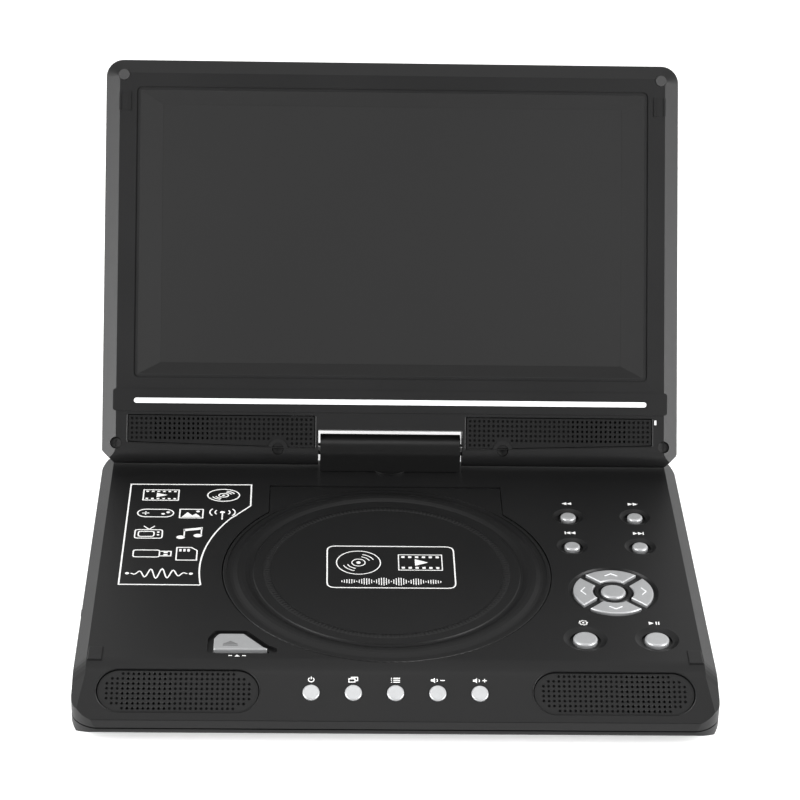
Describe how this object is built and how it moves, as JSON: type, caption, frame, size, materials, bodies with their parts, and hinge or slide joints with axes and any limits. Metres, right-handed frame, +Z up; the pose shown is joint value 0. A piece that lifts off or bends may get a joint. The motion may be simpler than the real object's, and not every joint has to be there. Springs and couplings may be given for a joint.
{
  "type": "portable dvd player",
  "caption": "Clamshell disc player: flat base with round disc lid and keys, and a wide screen on a swivelling, tilting hinge block.",
  "frame": {"origin": "on the desk under the middle of the base's outline, at the bottom of the rubber feet", "axes": "+Z up, +X to the user's right along the base's long side, -Y towards the user; the screen's hinge is at +Y"},
  "size_m": [0.2503, 0.2665, 0.1782],
  "materials": {
    "base_shell": "satin charcoal",
    "lid_plastic": "satin charcoal",
    "screen_shell": "satin charcoal",
    "hinge_plastic": "glossy black",
    "grille_black": "matt",
    "rubber_black": "matt",
    "silver_plastic": "satin silver",
    "panel_face": "anti-glare dark",
    "steel": "satin",
    "zinc_screws": "blackened",
    "inner_plastic": "matt black",
    "green_board": "solder mask",
    "chip_black": "matt",
    "battery_wrap": "shrink wrap",
    "lamp_white": "translucent"
  },
  "bodies": {
    "base": {"base_top_cover": "base_shell", "base_bottom_cover": "base_shell", "rubber_feet": "rubber_black", "base_screws": "zinc_screws", "speaker_grilles": "grille_black", "base_speakers": "inner_plastic", "disc_well": "inner_plastic", "drive_chassis": "steel", "drive_dampers": "rubber_black", "guide_rods": "steel", "drive_motors": "steel", "main_board": "green_board", "main_board_parts": "chip_black", "key_boards": "green_board", "key_switches": "chip_black", "battery_pack": "battery_wrap", "side_sockets": "inner_plastic", "swivel_plate": "steel"},
    "lid": {"disc_lid": "lid_plastic", "lid_liner": "inner_plastic"},
    "swivel": {"hinge_cover_front": "hinge_plastic", "hinge_cover_rear": "hinge_plastic", "hinge_frame": "steel", "swivel_retainer": "steel", "display_cable": "chip_black"},
    "screen": {"display_bezel": "screen_shell", "display_back_cover": "screen_shell", "lcd_panel": "panel_face", "lcd_frame": "steel", "display_board": "green_board", "trim_strip": "silver_plastic", "display_grilles": "grille_black", "screw_caps": "rubber_black", "display_screws": "zinc_screws", "hinge_brackets": "steel", "tilt_shafts": "steel", "indicator_lamp": "lamp_white"},
    "hub": {"spindle_hub": "inner_plastic"},
    "sled": {"laser_sled": "inner_plastic"},
    "screw_shaft": {"feed_screw": "steel"},
    "latch": {"lid_latch": "inner_plastic"},
    "open_key": {"open_button": "silver_plastic"},
    "switch": {"power_switch": "inner_plastic"},
    "rewind_key": {"rewind_button": "silver_plastic"},
    "forward_key": {"forward_button": "silver_plastic"},
    "previous_key": {"previous_button": "silver_plastic"},
    "next_key": {"next_button": "silver_plastic"},
    "setup_key": {"setup_button": "silver_plastic"},
    "play_pause_key": {"play_pause_button": "silver_plastic"},
    "ok_key": {"ok_button": "silver_plastic"},
    "nav_right_key": {"nav_right_button": "silver_plastic"},
    "nav_up_key": {"nav_up_button": "silver_plastic"},
    "nav_left_key": {"nav_left_button": "silver_plastic"},
    "nav_down_key": {"nav_down_button": "silver_plastic"},
    "power_key": {"power_button": "silver_plastic"},
    "mode_key": {"mode_button": "silver_plastic"},
    "menu_key": {"menu_button": "silver_plastic"},
    "volume_down_key": {"volume_down_button": "silver_plastic"},
    "volume_up_key": {"volume_up_button": "silver_plastic"}
  },
  "joints": [
    {"name": "lid_open", "type": "hinge", "parent": "base", "child": "lid", "pos_m": [0, 0.0634, 0.0234], "axis": [-1, 0, 0], "range_deg": [0, 70]},
    {"name": "screen_swivel", "type": "hinge", "parent": "base", "child": "swivel", "pos_m": [0, 0.0832, 0], "axis": [0, 0, 1], "range_deg": [-90, 180]},
    {"name": "screen_tilt", "type": "hinge", "parent": "swivel", "child": "screen", "pos_m": [0, 0.0832, 0.033], "axis": [1, 0, 0], "range_deg": [-59, 121]},
    {"name": "disc_spin", "type": "hinge", "parent": "base", "child": "hub", "pos_m": [-0.0026, -0.003, 0.017], "axis": [0, 0, 1], "continuous": true},
    {"name": "sled_slide", "type": "slide", "parent": "base", "child": "sled", "axis": [0, -1, 0], "range_m": [0, 0.034]},
    {"name": "feed_turn", "type": "hinge", "parent": "base", "child": "screw_shaft", "pos_m": [0.0234, -0.04, 0.0075], "axis": [0, 1, 0], "range_deg": [0, 4100]},
    {"name": "open_press", "type": "slide", "parent": "base", "child": "open_key", "axis": [0, 0, -1], "range_m": [0, 0.001], "stiffness_N_per_m": 300},
    {"name": "latch_slide", "type": "slide", "parent": "base", "child": "latch", "axis": [-0.7431, -0.6691, 0], "range_m": [0, 0.001]},
    {"name": "power_switch_slide", "type": "slide", "parent": "base", "child": "switch", "axis": [0, 1, 0], "range_m": [0, 0.004]},
    {"name": "rewind_press", "type": "slide", "parent": "base", "child": "rewind_key", "axis": [0, 0, -1], "range_m": [0, 0.0005], "stiffness_N_per_m": 300},
    {"name": "forward_press", "type": "slide", "parent": "base", "child": "forward_key", "axis": [0, 0, -1], "range_m": [0, 0.0005], "stiffness_N_per_m": 300},
    {"name": "previous_press", "type": "slide", "parent": "base", "child": "previous_key", "axis": [0, 0, -1], "range_m": [0, 0.0005], "stiffness_N_per_m": 300},
    {"name": "next_press", "type": "slide", "parent": "base", "child": "next_key", "axis": [0, 0, -1], "range_m": [0, 0.0005], "stiffness_N_per_m": 300},
    {"name": "setup_press", "type": "slide", "parent": "base", "child": "setup_key", "axis": [0, 0, -1], "range_m": [0, 0.0005], "stiffness_N_per_m": 300},
    {"name": "play_pause_press", "type": "slide", "parent": "base", "child": "play_pause_key", "axis": [0, 0, -1], "range_m": [0, 0.0005], "stiffness_N_per_m": 300},
    {"name": "ok_press", "type": "slide", "parent": "base", "child": "ok_key", "axis": [0, 0, -1], "range_m": [0, 0.0005], "stiffness_N_per_m": 300},
    {"name": "nav_right_press", "type": "slide", "parent": "base", "child": "nav_right_key", "axis": [0, 0, -1], "range_m": [0, 0.0005], "stiffness_N_per_m": 300},
    {"name": "nav_up_press", "type": "slide", "parent": "base", "child": "nav_up_key", "axis": [0, 0, -1], "range_m": [0, 0.0005], "stiffness_N_per_m": 300},
    {"name": "nav_left_press", "type": "slide", "parent": "base", "child": "nav_left_key", "axis": [0, 0, -1], "range_m": [0, 0.0005], "stiffness_N_per_m": 300},
    {"name": "nav_down_press", "type": "slide", "parent": "base", "child": "nav_down_key", "axis": [0, 0, -1], "range_m": [0, 0.0005], "stiffness_N_per_m": 300},
    {"name": "power_press", "type": "slide", "parent": "base", "child": "power_key", "axis": [0, 0.515, -0.8572], "range_m": [0, 0.0005], "stiffness_N_per_m": 300},
    {"name": "mode_press", "type": "slide", "parent": "base", "child": "mode_key", "axis": [0, 0.515, -0.8572], "range_m": [0, 0.0005], "stiffness_N_per_m": 300},
    {"name": "menu_press", "type": "slide", "parent": "base", "child": "menu_key", "axis": [0, 0.515, -0.8572], "range_m": [0, 0.0005], "stiffness_N_per_m": 300},
    {"name": "volume_down_press", "type": "slide", "parent": "base", "child": "volume_down_key", "axis": [0, 0.515, -0.8572], "range_m": [0, 0.0005], "stiffness_N_per_m": 300},
    {"name": "volume_up_press", "type": "slide", "parent": "base", "child": "volume_up_key", "axis": [0, 0.515, -0.8572], "range_m": [0, 0.0005], "stiffness_N_per_m": 300}
  ],
  "couplings": [
    {"joint": "feed_turn", "follows": "sled_slide", "rad_per_m": 2094.4},
    {"joint": "latch_slide", "follows": "open_press", "ratio": 1}
  ]
}
